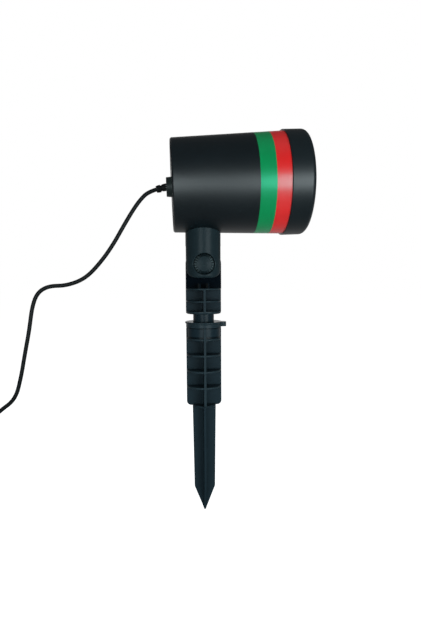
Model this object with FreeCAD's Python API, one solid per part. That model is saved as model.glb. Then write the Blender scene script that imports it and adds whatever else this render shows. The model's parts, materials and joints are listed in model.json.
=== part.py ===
import FreeCAD, Part
import math
import os
from FreeCAD import Placement, Rotation, Vector

# Garden laser show projector: a conical lamp head with two coloured bands on a swivelling,
# tilting ground stake, with its low-voltage lead and plug-in adapter.
# Sizes are in millimetres. The origin is the tip of the spike, Z runs up the stake and X points
# the way the light goes.

# Fits and edges
RUN_FIT = 0.06            # radial clearance of a pin that turns in its bore
LOOSE_FIT = 0.3           # clearance between pieces that pass each other
SEAT_GAP = 0.05           # joint line between pieces that are fastened together
FACE_GAP = 0.15           # axial play between faces that turn on each other
EDGE = 0.4                # small bevel on moulded edges
OVERRUN = 2.0             # how far a cutting shape runs past a face
TOLERANCE = 0.001

# Ground stake
STAKE_R = 17.6
SPIKE_LENGTH = 110.5
SPIKE_TIP_R = 0.6
SPIKE_POINT = 25.0        # height of the pointed end
SPIKE_SHOULDER_R = 10.5
SPIKE_TOP_R = 11.8
BODY_LENGTH = 79.5        # from the top of the spike to the rim of the cup
BODY_CORNER = 4.4
WEB = 2.2                 # thickness of the crossed ribs
DISC = 2.0                # thickness of the round ribs
DISC_PITCH = 16.1
DISC_COUNT = 4
RIB_ROUND = 0.8           # rounding of the round ribs' rims
CUP_HEIGHT = 10.4
CUP_INSET = 0.9           # how far the cup's wall lies inside the ribs

# Swivel between the ground stake and the stake head
SPIGOT_R = 10.45
SPIGOT_SHOW = 8.0         # length of spigot that shows above the lock ring
COLLAR_R = 13.2
COLLAR_SINK = 2.1         # depth of the collar's seat below the cup's rim
COLLAR_HEIGHT = 4.6
PIN_R = 7.5
PIN_LENGTH = 10.0
SOCKET_WALL = 2.4

# Lock ring
RING_HEIGHT = 5.5
RING_WEB = 2.6            # thickness of the ring's top over the collar
LIP_REACH = 1.0           # how far the lip stands out past the cup
LIP_HEIGHT = 2.2
TAB_REACH = 22.5
TAB_WIDTH = 11.0
TAB_HEIGHT = 4.4
TAB_CORNER = 3.0
BOSS_R = 15.0             # round boss on the cup that the ring turns on
BOSS_HEIGHT = 2.6
LUG_REACH = 1.0
LUG_HEIGHT = 1.2
LUG_ANGLE = 24.0
GROOVE_PLAY = 0.25
GROOVE_SLACK_ANGLE = 2.0
LOCK_TRAVEL = 45.0        # degrees from locked to free
HALF_TURN = 180.0
QUARTER_TURN = 90.0
FULL_TURN = 360.0

# Stake head
HEAD_SECTION = 25.4       # from the bottom disc to the top of the shoulder
BASE_DISC = 2.6
BASE_CORNER = 1.6
UPPER_PITCH = 12.1
UPPER_DISC = 1.8
PIVOT_RISE = 23.7         # from the shoulder to the tilt axis
TONGUE_R = 17.6
TONGUE = 7.0              # thickness of the tongue between the cheeks
GUSSET = 1.2
GUSSET_HEIGHT = 4.8
GUSSET_SPACING = 8.6
WASHER_R = 10.5
WASHER = 1.0
WASHER_SINK = 0.85        # depth of the washer's seat in the tongue

# Neck fork and its clamp
NECK_R = 17.5
CHEEK_DROP = 13.5
CHEEK_CORNER = 10.0
CHEEK_ROUND = 2.5         # rounding of the cheeks' lower edge
BOLT_R = 3.0
BOLT_HOLE_FIT = 0.2
HEX_FLATS = 10.0
HEX_HEIGHT = 7.0
POCKET_FLOOR = 8.0        # distance of both pocket floors from the middle plane
POCKET_R = 10.2
POCKET_ROUND = 0.8        # rounding of the knob pocket's edge
KNOB_R = 9.85
KNOB_FACE_R = 7.4
KNOB_SHOULDER = 12.8      # distance of the bevel's start from the middle plane
KNOB_TOP = 16.0           # distance of the knob's face from the middle plane
KNOB_CROWN = 0.6          # height of the face's crown
KNURL_DEPTH = 0.55
KNURL_COUNT = 44
NUT = 3.6
BOLT_END = 12.6
NECK_SCREW_SPACING = 17.0
NECK_SCREW_R = 1.7
NECK_SCREW_LENGTH = 15.0
SCREW_HEAD_R = 3.2
SCREW_HEAD = 2.2
SCREW_SLOT = 0.9

# Lamp housing, measured along its own axis from the rear edge
NECK_RISE = 31.1          # from the tilt axis to the barrel's underside, over the stake
NOSE_UP = 1.95            # degrees between the housing's axis and the level
NECK_FROM_REAR = 30.4
BARREL_LENGTH = 108.0
BARREL_REAR_R = 44.8
BARREL_FLARE = 4.5        # how much wider the barrel is at the front
WALL = 2.4
REAR_ROUND = 1.2
GREEN_WIDTH = 15.0
RED_WIDTH = 13.7
BAND = 0.8                # depth of the coloured bands in the wall
PAD_R = 14.0              # flat seat for the neck screws inside the barrel
PAD_RISE = 2.86           # height of that seat over the barrel's inside

# Front bezel, window and baffle
BEZEL_STEP = 1.4          # how far the bezel stands out past the barrel
BEZEL_LENGTH = 22.6
BEZEL_ROUND = 4.9
HOOD_DEPTH = 10.0
HOOD_WALL = 5.9
LEDGE = 2.0
LEDGE_REACH = 2.8
BEZEL_SPIGOT = 8.0
SPIGOT_WALL = 1.6
SEAL = 1.2
GLASS = 3.0
BAFFLE = 2.0
APERTURE_R = 6.0
LASER_SPACING = 30.0
GRATING_R = 7.5
GRATING = 1.2
CUP_WALL = 1.4
CUP_DEPTH = 6.0
RETAINER = 1.5

# Laser carrier and modules
CARRIER_SETBACK = 45.1    # from the barrel's front to the shelf that carries the plate
CARRIER = 3.0
SHELF = 4.0
SHELF_WIDTH = 8.6
SLEEVE_WALL = 3.0
SLEEVE_LENGTH = 20.0
GREEN_LASER_R = 7.0
GREEN_LASER_LENGTH = 41.0
RED_LASER_R = 6.0
RED_LASER_LENGTH = 31.0
LASER_TAIL = 7.0          # how far the modules reach behind the plate
LENS_R = 3.0
LENS_SINK = 1.5
GRUB_R = 1.5
GRUB_RISE = 10.0          # height of the grub screws over the plate
CARRIER_SCREWS = 3
SCREW_R = 1.5
SCREW_LENGTH = 8.0

# Rear cover, board and controls
COVER = 4.0
COVER_INSET = 0.6
COVER_BOSS_R = 4.0
COVER_BOSS_LENGTH = 16.0
COVER_BOSS_EMBED = 0.6
COVER_SCREWS = 4
POST_R = 3.5
POST_LENGTH = 17.0
POST_CIRCLE_R = 26.0
POST_COUNT = 3
BOARD_R = 31.0
BOARD = 1.6
BUTTON_RISE = 22.0        # height of the button over the housing's axis
BUTTON_R = 6.0
BUTTON_SINK = 0.5
BUTTON_CAP = 4.5
BUTTON_SKIRT = 1.4
BUTTON_TRAVEL = 1.2
SWITCH_SIZE = 12.0
STEM_R = 2.0
STEM_ENTRY = 2.0          # how far the button's stem reaches into the switch
SENSOR_DROP = 22.0
SENSOR_WINDOW_R = 4.5
SENSOR_WINDOW = 2.0
SENSOR_R = 2.6
SENSOR_LENGTH = 9.0
CAPACITOR_R = 5.0
CAPACITOR_LENGTH = 14.0
INDUCTOR_R = 7.0
INDUCTOR_HOLE_R = 3.0
INDUCTOR_HEIGHT = 8.0
CONNECTOR_SIZE = 9.0
CONNECTOR_HEIGHT = 7.0

# Cable entry and lead
GLAND_DROP = 0.8
GLAND_R = 9.8
GLAND_TAPER = 0.5
GLAND_LENGTH = 5.8
GLAND_THREAD_R = 6.0
GLAND_NUT_FLATS = 16.0
GLAND_NUT = 3.5
RELIEF_LENGTH = 10.0
RELIEF_R = 3.6
RELIEF_TAPER = 0.45       # how much narrower each sleeve is at its far end
RELIEF_WAIST_R = 2.7
RELIEF_GROOVE = 0.9
RELIEF_SLEEVES = 2
RELIEF_DROOP = 12.0       # degrees that the lead's weight bends the soft relief down
CORD_R = 2.0
WIRE_R = 0.9
BEND_SHARE = 0.45

# Hand-chosen route of the lead, as (X, Z) in the plane of the stake, from the cable entry to the
# floor. The first run leaves straight out of the strain relief and is added in front of these.
EXIT_RUN = 9.0
ROUTE = [
    (-60.0, 317.4), (-68.1, 305.8), (-77.5, 290.5), (-88.5, 271.5), (-101.0, 254.5),
    (-115.7, 239.3), (-134.0, 232.5), (-151.0, 232.5), (-162.0, 226.0), (-167.5, 212.0),
    (-171.0, 189.0), (-176.0, 166.0), (-180.5, 143.0), (-186.8, 120.6), (-203.2, 109.2),
    (-217.0, 94.0), (-223.0, 71.0), (-226.5, 48.0), (-233.5, 26.0), (-244.0, 10.0),
]
LANDING_X = -268.0        # where the lead meets the coil on the floor
LANDING_RUN = 12.0        # length of lead that lies on the floor before the coil

# Put-away coil
COIL_TURNS = 4.25         # turns from one reversal of the spiral to the next
COIL_LAYERS = 4
LIFT_TURNS = 0.5          # part of a turn over which the lead climbs to the next layer
COIL_MID_R = 22.5
TURN_GAP = 0.75
QUARTERS = 4
COIL_TAIL = 8.0           # straight end of the coil before the adapter
FLOOR_GAP = 0.1
TIE_WIDTH = 5.0
TIE = 0.8
TIE_GAP = 0.3

# Plug-in adapter
ADAPTER_RELIEF = 30.0
ADAPTER_RELIEF_R = 4.2
ADAPTER_RELIEF_TIP_R = 3.0
ADAPTER_LENGTH = 60.0
ADAPTER_WIDTH = 44.0
ADAPTER_HEIGHT = 33.0
ADAPTER_CORNER = 5.0
ADAPTER_WALL = 2.2
ADAPTER_SEAM = 22.0       # height of the joint between the two halves
BLADE_WIDTH = 6.3
BLADE = 1.5
BLADE_LENGTH = 17.0
BLADE_ROOT = 1.2
BLADE_SPACING = 12.7
BLADE_SETBACK = 14.0      # from the far end of the case
CORE_LENGTH = 34.0
CORE_WIDTH = 30.0
CORE_HEIGHT = 20.0
ADAPTER_BOARD = 1.6

# Heights and places that follow from the sizes above
CUP_TOP = SPIKE_LENGTH + BODY_LENGTH
CUP_BASE = CUP_TOP - CUP_HEIGHT
COLLAR_SEAT = CUP_TOP - COLLAR_SINK
RING_BASE = CUP_TOP + FACE_GAP
RING_TOP = RING_BASE + RING_HEIGHT
HEAD_BASE = RING_TOP + SPIGOT_SHOW
SHOULDER = HEAD_BASE + HEAD_SECTION
PIVOT = SHOULDER + PIVOT_RISE
SLOT = TONGUE / 2 + LOOSE_FIT
BARREL_FRONT_R = BARREL_REAR_R + BARREL_FLARE
NECK_ROOT_R = BARREL_REAR_R + BARREL_FLARE * NECK_FROM_REAR / BARREL_LENGTH
AXIS_RISE = NECK_RISE + NECK_ROOT_R
GREEN_END = BARREL_LENGTH - RED_WIDTH
GREEN_START = GREEN_END - GREEN_WIDTH
CARRIER_SEAT = BARREL_LENGTH - CARRIER_SETBACK
BEZEL_R = BARREL_FRONT_R + BEZEL_STEP
HOOD_R = BEZEL_R - HOOD_WALL
LEDGE_R = HOOD_R - LEDGE_REACH
BEZEL_FRONT = BARREL_LENGTH + BEZEL_LENGTH
LEDGE_BACK = BEZEL_FRONT - HOOD_DEPTH - LEDGE
GLASS_FRONT = LEDGE_BACK - SEAL
BAFFLE_FRONT = GLASS_FRONT - GLASS
BAFFLE_BACK = BAFFLE_FRONT - BAFFLE
COVER_BACK = COVER_INSET + COVER
BOARD_BACK = COVER_BACK + POST_LENGTH
BOARD_FRONT = BOARD_BACK + BOARD
GLAND_END = COVER_INSET - GLAND_LENGTH
COIL_PITCH = 2 * CORD_R + TURN_GAP
COIL_FLOOR = CORD_R + FLOOR_GAP + TIE + TIE_GAP
COIL_TOP = COIL_FLOOR + (COIL_LAYERS - 1) * COIL_PITCH

UP = Vector(0, 0, 1)
ORIGIN = Vector(0, 0, 0)
HOUSING = (
    Placement(Vector(0, 0, PIVOT + AXIS_RISE), Rotation(Vector(0, -1, 0), NOSE_UP))
    * Placement(Vector(-NECK_FROM_REAR, 0, 0),
                Rotation(Vector(0, 1, 0), Vector(0, 0, 1), Vector(1, 0, 0), "XYZ"))
)


def rod(radius, start, end, x=0, y=0):
    """A round bar along Z between two heights."""
    return Part.makeCylinder(radius, end - start, Vector(x, y, start))


def block(low, high):
    """A box between two corners."""
    size = Vector(*high) - Vector(*low)
    return Part.makeBox(size.x, size.y, size.z, Vector(*low))


def face_of(points):
    """A flat face inside a closed chain of points."""
    return Part.Face(Part.makePolygon(points + points[:1]))


def turned(*profile):
    """A solid turned about Z from (radius, height) corners."""
    return face_of([Vector(r, 0, z) for r, z in profile]).revolve(ORIGIN, UP, FULL_TURN)


def disc(radius, thickness, top):
    """A round rib with bevelled edges."""
    base = top - thickness
    return turned((0, base), (radius - EDGE, base), (radius, base + EDGE),
                  (radius, top - EDGE), (radius - EDGE, top), (0, top))


def round_rib(thickness, top):
    """A round rib as wide as the stake, with a rounded rim."""
    base = top - thickness
    rib = round_rim(rod(STAKE_R, base, top), RIB_ROUND, STAKE_R, base)
    return round_rim(rib, RIB_ROUND, STAKE_R, top)


def sector(radius, start, end, angle, middle):
    """A wedge of a round bar, centred on a direction given in degrees."""
    wedge = Part.makeCylinder(radius, end - start, Vector(0, 0, start), UP, angle)
    wedge.rotate(ORIGIN, UP, middle - angle / 2)
    return wedge


def hexagon(flats, start, end):
    """A six-sided bar along Z, measured across its flats."""
    radius = flats / math.sqrt(3)
    corners = [Vector(radius * math.cos(k * math.pi / 3), radius * math.sin(k * math.pi / 3), start)
               for k in range(6)]
    return face_of(corners).extrude(Vector(0, 0, end - start))


def rounded_block(low, high, radius, direction):
    """A box whose edges along one direction are rounded."""
    box = block(low, high)
    edges = [e for e in box.Edges if e.tangentAt(e.FirstParameter).cross(direction).Length < TOLERANCE]
    return box.makeFillet(radius, edges)


def round_rim(shape, radius, rim_r, height):
    """Rounds the circular edge of a turned shape at one radius and height."""
    rims = [e for e in shape.Edges
            if isinstance(e.Curve, Part.Circle)
            and abs(e.Curve.Radius - rim_r) < TOLERANCE
            and abs(e.Curve.Center.z - height) < TOLERANCE]
    return shape.makeFillet(radius, rims)


def on_circle(count, radius, start=0):
    """Evenly spaced places on a circle, as (x, y) pairs."""
    steps = [math.radians(start + FULL_TURN * k / count) for k in range(count)]
    return [(radius * math.cos(a), radius * math.sin(a)) for a in steps]


def screw(length, radius, x, y, seat):
    """A slotted pan-head screw that points up Z, with its head under the seat."""
    head = disc(SCREW_HEAD_R, SCREW_HEAD, seat)
    slot = block((-SCREW_HEAD_R, -SCREW_SLOT / 2, seat - SCREW_HEAD - OVERRUN),
                 (SCREW_HEAD_R, SCREW_SLOT / 2, seat - SCREW_HEAD / 2))
    body = head.cut(slot).fuse(rod(radius, seat - EDGE, seat + length))
    body.translate(Vector(x, y, 0))
    return body


def on_pivot(shape):
    """Lays a shape built along Z on the tilt axis, with its heights along Y."""
    shape.rotate(ORIGIN, Vector(1, 0, 0), -QUARTER_TURN)
    shape.translate(Vector(0, 0, PIVOT))
    return shape


def in_housing(shape):
    """Puts a shape built along Z into the lamp housing, rear edge at zero."""
    placed = shape.copy()
    placed.Placement = HOUSING * placed.Placement
    return placed


def group(shapes):
    return Part.makeCompound(list(shapes))


def crossed_ribs(outline, thickness):
    """Two flat ribs that cross at the axis, from (half width, height) corners."""
    right = [Vector(w, -thickness / 2, z) for w, z in outline]
    left = [Vector(-w, -thickness / 2, z) for w, z in reversed(outline)]
    rib = face_of(right + left).extrude(Vector(0, thickness, 0))
    other = rib.copy()
    other.rotate(ORIGIN, UP, QUARTER_TURN)
    return rib.fuse(other)


def ground_stake():
    spike = crossed_ribs([(SPIKE_TIP_R, 0), (SPIKE_SHOULDER_R, SPIKE_POINT),
                          (SPIKE_TOP_R, SPIKE_LENGTH + BODY_CORNER)], WEB)
    rim = CUP_TOP - EDGE
    outline = round_rim(rod(STAKE_R, SPIKE_LENGTH, rim), BODY_CORNER, STAKE_R, SPIKE_LENGTH)
    ribs = crossed_ribs([(STAKE_R, SPIKE_LENGTH), (STAKE_R, rim)], WEB).common(outline)
    discs = [round_rib(DISC, CUP_BASE - k * DISC_PITCH) for k in range(DISC_COUNT)]
    bottom = disc(SPIKE_TOP_R, DISC, SPIKE_LENGTH + DISC / 2)
    pin_floor = COLLAR_SEAT - PIN_LENGTH
    socket_r = PIN_R + RUN_FIT + SOCKET_WALL
    socket = rod(socket_r, pin_floor - SOCKET_WALL, CUP_BASE)
    cup_r = STAKE_R - CUP_INSET
    cup = turned((0, CUP_BASE - EDGE), (cup_r, CUP_BASE - EDGE), (cup_r, rim), (cup_r - EDGE, CUP_TOP),
                 (BOSS_R, CUP_TOP), (BOSS_R, CUP_TOP + BOSS_HEIGHT), (0, CUP_TOP + BOSS_HEIGHT))
    lug_top = CUP_TOP + BOSS_HEIGHT - GROOVE_PLAY
    lugs = [sector(BOSS_R + LUG_REACH, lug_top - LUG_HEIGHT, lug_top, LUG_ANGLE, middle)
            for middle in (QUARTER_TURN, -QUARTER_TURN)]
    stake = spike.fuse([ribs] + discs + [bottom, socket, cup] + lugs)
    stake = stake.cut(rod(COLLAR_R + LOOSE_FIT, COLLAR_SEAT, CUP_TOP + BOSS_HEIGHT + OVERRUN))
    return stake.cut(rod(PIN_R + RUN_FIT, pin_floor, COLLAR_SEAT + OVERRUN)).removeSplitter()


def lock_ring():
    lip_base = RING_TOP - LIP_HEIGHT
    body = turned((0, RING_BASE), (STAKE_R, RING_BASE), (STAKE_R, lip_base),
                  (STAKE_R + LIP_REACH, lip_base + LIP_REACH), (STAKE_R + LIP_REACH, RING_TOP - EDGE),
                  (STAKE_R + LIP_REACH - EDGE, RING_TOP), (0, RING_TOP))
    tab = rounded_block((-TAB_REACH, -TAB_WIDTH / 2, RING_TOP - EDGE - TAB_HEIGHT),
                        (TAB_REACH, TAB_WIDTH / 2, RING_TOP - EDGE), TAB_CORNER, UP)
    tab = tab.cut(block((-TAB_REACH, -TAB_WIDTH, RING_BASE - OVERRUN), (0, TAB_WIDTH, RING_TOP)))
    ring = body.fuse(tab)
    ring = ring.cut(rod(SPIGOT_R + LOOSE_FIT, RING_BASE - OVERRUN, RING_TOP + OVERRUN))
    ring = ring.cut(rod(BOSS_R + LOOSE_FIT, RING_BASE - OVERRUN, RING_TOP - RING_WEB))
    groove_r = BOSS_R + LUG_REACH + LOOSE_FIT
    lug_top = CUP_TOP + BOSS_HEIGHT - GROOVE_PLAY
    groove_base = lug_top - LUG_HEIGHT - GROOVE_PLAY
    reach = LUG_ANGLE + 2 * GROOVE_SLACK_ANGLE
    for middle in (QUARTER_TURN, -QUARTER_TURN):
        ring = ring.cut(sector(groove_r, groove_base, lug_top + GROOVE_PLAY, reach + LOCK_TRAVEL,
                               middle - LOCK_TRAVEL / 2))
        ring = ring.cut(sector(groove_r, RING_BASE - OVERRUN, lug_top, reach, middle - LOCK_TRAVEL))
    return ring.removeSplitter()


def stake_head():
    collar_base = COLLAR_SEAT + FACE_GAP
    collar_top = collar_base + COLLAR_HEIGHT
    pin_end = collar_base - PIN_LENGTH + FACE_GAP
    spigot = turned((0, pin_end), (PIN_R - EDGE, pin_end), (PIN_R, pin_end + EDGE),
                    (PIN_R, collar_base), (COLLAR_R, collar_base), (COLLAR_R, collar_top),
                    (SPIGOT_R, collar_top), (SPIGOT_R, HEAD_BASE + EDGE), (0, HEAD_BASE + EDGE))
    base = round_rim(rod(STAKE_R, HEAD_BASE, HEAD_BASE + BASE_DISC), BASE_CORNER, STAKE_R, HEAD_BASE)
    ribs = crossed_ribs([(STAKE_R, HEAD_BASE + BASE_CORNER), (STAKE_R, SHOULDER - EDGE)], WEB)
    discs = [round_rib(UPPER_DISC, SHOULDER - k * UPPER_PITCH) for k in range(2)]
    stem = block((-TONGUE_R, -TONGUE / 2, SHOULDER - EDGE), (TONGUE_R, TONGUE / 2, PIVOT))
    eye = on_pivot(rod(TONGUE_R, -TONGUE / 2, TONGUE / 2))
    reach = STAKE_R - GUSSET_HEIGHT / 2
    half_gap = GUSSET_SPACING / 2
    gussets = [block((x - GUSSET / 2, -reach, SHOULDER - EDGE),
                     (x + GUSSET / 2, reach, SHOULDER + GUSSET_HEIGHT)) for x in (-half_gap, half_gap)]
    head = spigot.fuse([base, ribs, stem, eye] + discs + gussets)
    head = head.cut(on_pivot(rod(BOLT_R + RUN_FIT, -TONGUE, TONGUE)))
    for side in washer_seats():
        head = head.cut(side)
    return head.removeSplitter()


def washer_seats():
    """The two round seats in the tongue's faces."""
    floor = TONGUE / 2 - WASHER_SINK
    return [on_pivot(rod(WASHER_R + SEAT_GAP, floor, TONGUE)),
            on_pivot(rod(WASHER_R + SEAT_GAP, -TONGUE, -floor))]


def friction_washers():
    floor = TONGUE / 2 - WASHER_SINK
    pair = [rod(WASHER_R, floor, floor + WASHER), rod(WASHER_R, -floor - WASHER, -floor)]
    return group(on_pivot(w.cut(rod(BOLT_R + BOLT_HOLE_FIT, -TONGUE, TONGUE))) for w in pair)


def neck_fork():
    low = PIVOT - CHEEK_DROP
    high = PIVOT + AXIS_RISE
    outline = block((-NECK_R, -NECK_R, low), (NECK_R, NECK_R, high))
    corners = [e for e in outline.Edges
               if abs(e.CenterOfMass.z - low) < TOLERANCE and abs(e.CenterOfMass.y) < TOLERANCE]
    fork = outline.makeFillet(CHEEK_CORNER, corners).common(rod(NECK_R, low, high))
    lower = [e for e in fork.Edges if e.BoundBox.ZMax < PIVOT and e.BoundBox.YLength > NECK_R / 2]
    rims = [e for e in lower
            if all(abs(math.hypot(v.X, v.Y) - NECK_R) < TOLERANCE for v in e.Vertexes)]
    fork = fork.makeFillet(CHEEK_ROUND, rims)
    fork = fork.cut(in_housing(barrel_cone(SEAT_GAP)))
    slot_top = PIVOT + TONGUE_R + LOOSE_FIT
    fork = fork.cut(block((-STAKE_R - OVERRUN, -SLOT, low - OVERRUN), (STAKE_R + OVERRUN, SLOT, slot_top)))
    fork = round_pocket(fork.cut(on_pivot(rod(POCKET_R, -NECK_R - OVERRUN, -POCKET_FLOOR))))
    fork = fork.cut(on_pivot(hexagon(HEX_FLATS + LOOSE_FIT, POCKET_FLOOR, NECK_R + OVERRUN)))
    fork = fork.cut(on_pivot(rod(BOLT_R + BOLT_HOLE_FIT, -NECK_R, NECK_R)))
    for x in neck_screw_places():
        fork = fork.cut(rod(NECK_SCREW_R + SEAT_GAP, pad_height() - NECK_SCREW_LENGTH - EDGE, high, x))
    return fork


def round_pocket(fork):
    """Rounds the edge where the knob's pocket meets the neck's outside."""
    edges = []
    for edge in fork.Edges:
        points = edge.discretize(5)
        on_neck = all(abs(math.hypot(v.x, v.y) - NECK_R) < TOLERANCE for v in points)
        on_wall = all(abs(math.hypot(v.x, v.z - PIVOT) - POCKET_R) < TOLERANCE for v in points)
        if on_neck and on_wall:
            edges.append(edge)
    return fork.makeFillet(POCKET_ROUND, edges)


def neck_screw_places():
    return (-NECK_SCREW_SPACING / 2, NECK_SCREW_SPACING / 2)


def pad_height():
    """Height of the flat seat for the neck screws inside the barrel."""
    return PIVOT + NECK_RISE + WALL + PAD_RISE


def neck_screws():
    screws = []
    for x in neck_screw_places():
        body = screw(NECK_SCREW_LENGTH, NECK_SCREW_R, 0, 0, 0)
        body.rotate(ORIGIN, Vector(1, 0, 0), HALF_TURN)
        body.translate(Vector(x, 0, pad_height() + SEAT_GAP))
        screws.append(body)
    return group(screws)


def pivot_bolt():
    head = hexagon(HEX_FLATS, POCKET_FLOOR, POCKET_FLOOR + HEX_HEIGHT)
    return on_pivot(head.fuse(rod(BOLT_R, -BOLT_END, POCKET_FLOOR + EDGE)))


def knurled_ring(radius, height):
    """A closed chain of ridges and grooves around the knob."""
    points = []
    for k in range(2 * KNURL_COUNT):
        reach = radius - KNURL_DEPTH * (k % 2)
        angle = math.pi * k / KNURL_COUNT
        points.append(Vector(reach * math.cos(angle), reach * math.sin(angle), height))
    return Part.makePolygon(points + points[:1])


def crowned_face():
    """A shallow crown on the knob's face."""
    face_r = KNOB_FACE_R - KNURL_DEPTH
    ball_r = (face_r ** 2 + KNOB_CROWN ** 2) / (2 * KNOB_CROWN)
    ball = Part.makeSphere(ball_r, Vector(0, 0, ball_r - KNOB_TOP - KNOB_CROWN))
    return ball.common(rod(face_r, -KNOB_TOP - OVERRUN, EDGE - KNOB_TOP))


def clamp_knob():
    back = -POCKET_FLOOR - FACE_GAP
    rings = [knurled_ring(KNOB_R, back), knurled_ring(KNOB_R, -KNOB_SHOULDER)]
    rings.append(knurled_ring(KNOB_FACE_R, -KNOB_TOP))
    knob = Part.makeLoft(rings, True, True).fuse(crowned_face())
    knob = knob.cut(hexagon(HEX_FLATS + 2 * SEAT_GAP, back - NUT, back + OVERRUN))
    return on_pivot(knob.cut(rod(BOLT_R + LOOSE_FIT, -BOLT_END - EDGE, back)))


def knob_nut():
    back = -POCKET_FLOOR - FACE_GAP
    nut = hexagon(HEX_FLATS, back - NUT + SEAT_GAP, back)
    return on_pivot(nut.cut(rod(BOLT_R + RUN_FIT, back - NUT - OVERRUN, back + OVERRUN)))


def barrel_r(z):
    """Outside radius of the conical barrel at a distance from its rear edge."""
    return BARREL_REAR_R + (BARREL_FRONT_R - BARREL_REAR_R) * z / BARREL_LENGTH


def barrel_cone(grow):
    """The barrel as a plain cone, grown or shrunk all round."""
    return turned((0, 0), (barrel_r(0) + grow, 0), (barrel_r(BARREL_LENGTH) + grow, BARREL_LENGTH),
                  (0, BARREL_LENGTH))


def cover_screw_places():
    radius = barrel_r(COVER_BACK) - WALL - COVER_BOSS_R + COVER_BOSS_EMBED
    return on_circle(COVER_SCREWS, radius, HALF_TURN / COVER_SCREWS)


def carrier_screw_places():
    return on_circle(CARRIER_SCREWS, barrel_r(CARRIER_SEAT) - WALL - SHELF_WIDTH / 2, QUARTER_TURN)


def housing_shell():
    shelf_base = CARRIER_SEAT - SHELF
    shelf_r = barrel_r(CARRIER_SEAT) - WALL - SHELF_WIDTH
    shell = turned(
        (barrel_r(0) - WALL, 0), (barrel_r(0) - REAR_ROUND, 0), (barrel_r(REAR_ROUND), REAR_ROUND),
        (barrel_r(GREEN_START), GREEN_START), (barrel_r(GREEN_START) - BAND, GREEN_START),
        (barrel_r(BARREL_LENGTH) - BAND, BARREL_LENGTH), (barrel_r(BARREL_LENGTH) - WALL, BARREL_LENGTH),
        (barrel_r(CARRIER_SEAT) - WALL, CARRIER_SEAT), (shelf_r, CARRIER_SEAT), (shelf_r, shelf_base),
        (barrel_r(shelf_base) - WALL, shelf_base))
    bosses = []
    for x, y in cover_screw_places():
        boss = rod(COVER_BOSS_R, COVER_BACK + SEAT_GAP, COVER_BACK + COVER_BOSS_LENGTH, x, y)
        bosses.append(boss.cut(rod(SCREW_R + SEAT_GAP, 0, COVER_BACK + SCREW_LENGTH + EDGE, x, y)))
    shell = in_housing(shell.fuse(bosses))
    pad = rod(PAD_R, PIVOT, pad_height()).common(in_housing(barrel_cone(-WALL / 2)))
    shell = shell.fuse(pad)
    for x in neck_screw_places():
        shell = shell.cut(rod(NECK_SCREW_R + LOOSE_FIT, PIVOT, PIVOT + AXIS_RISE, x))
    for x, y in carrier_screw_places():
        hole = rod(SCREW_R + SEAT_GAP, shelf_base - OVERRUN, CARRIER_SEAT + OVERRUN, x, y)
        shell = shell.cut(in_housing(hole))
    return shell


def colour_band(start, end):
    """A ring let into the barrel's step, flush with the barrel."""
    step = BAND - SEAT_GAP
    return in_housing(turned((barrel_r(start) - step, start), (barrel_r(start), start),
                             (barrel_r(end), end), (barrel_r(end) - step, end)))


def front_bezel():
    seat_r = HOOD_R - EDGE
    spigot_base = BARREL_LENGTH - BEZEL_SPIGOT
    spigot_r = barrel_r(spigot_base) - WALL - SEAT_GAP
    back = BARREL_LENGTH + SEAT_GAP
    bezel = turned((spigot_r - SPIGOT_WALL, spigot_base), (spigot_r, spigot_base), (spigot_r, back),
                   (BEZEL_R - EDGE, back), (BEZEL_R, back + EDGE), (BEZEL_R, BEZEL_FRONT),
                   (HOOD_R, BEZEL_FRONT), (HOOD_R, LEDGE_BACK + LEDGE), (LEDGE_R, LEDGE_BACK + LEDGE),
                   (LEDGE_R, LEDGE_BACK), (seat_r, LEDGE_BACK), (seat_r, back))
    return in_housing(round_rim(bezel, BEZEL_ROUND, BEZEL_R, BEZEL_FRONT))


def window_r():
    return HOOD_R - EDGE - SEAT_GAP


def window_glass():
    return in_housing(disc(window_r(), GLASS, GLASS_FRONT - SEAT_GAP))


def window_seal():
    ring = rod(window_r(), GLASS_FRONT, LEDGE_BACK - SEAT_GAP)
    return in_housing(ring.cut(rod(LEDGE_R, GLASS_FRONT - OVERRUN, LEDGE_BACK + OVERRUN)))


def laser_places():
    """Places of the green and the red module across the housing."""
    return ((-LASER_SPACING / 2, 0), (LASER_SPACING / 2, 0))


def baffle_plate():
    plate = rod(window_r(), BAFFLE_BACK, BAFFLE_FRONT - SEAT_GAP)
    cup_r = GRATING_R + SEAT_GAP + CUP_WALL
    for x, y in laser_places():
        plate = plate.fuse(rod(cup_r, BAFFLE_BACK - CUP_DEPTH, BAFFLE_BACK + EDGE, x, y))
    for x, y in laser_places():
        plate = plate.cut(rod(GRATING_R + SEAT_GAP, BAFFLE_BACK - CUP_DEPTH - OVERRUN, BAFFLE_BACK, x, y))
        plate = plate.cut(rod(APERTURE_R, BAFFLE_BACK - OVERRUN, BAFFLE_FRONT + OVERRUN, x, y))
    skirt_base = BARREL_LENGTH - BEZEL_SPIGOT
    skirt = rod(window_r(), skirt_base, BAFFLE_BACK + EDGE)
    skirt = skirt.cut(rod(window_r() - WALL, skirt_base - OVERRUN, BAFFLE_BACK + OVERRUN))
    return in_housing(plate.fuse(skirt).removeSplitter())


def grating(place):
    x, y = place
    return in_housing(rod(GRATING_R, BAFFLE_BACK - SEAT_GAP - GRATING, BAFFLE_BACK - SEAT_GAP, x, y))


def grating_rings():
    top = BAFFLE_BACK - 2 * SEAT_GAP - GRATING
    rings = [rod(GRATING_R, top - RETAINER, top, x, y).cut(
             rod(APERTURE_R, top - RETAINER - OVERRUN, top + OVERRUN, x, y)) for x, y in laser_places()]
    return in_housing(group(rings))


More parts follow.
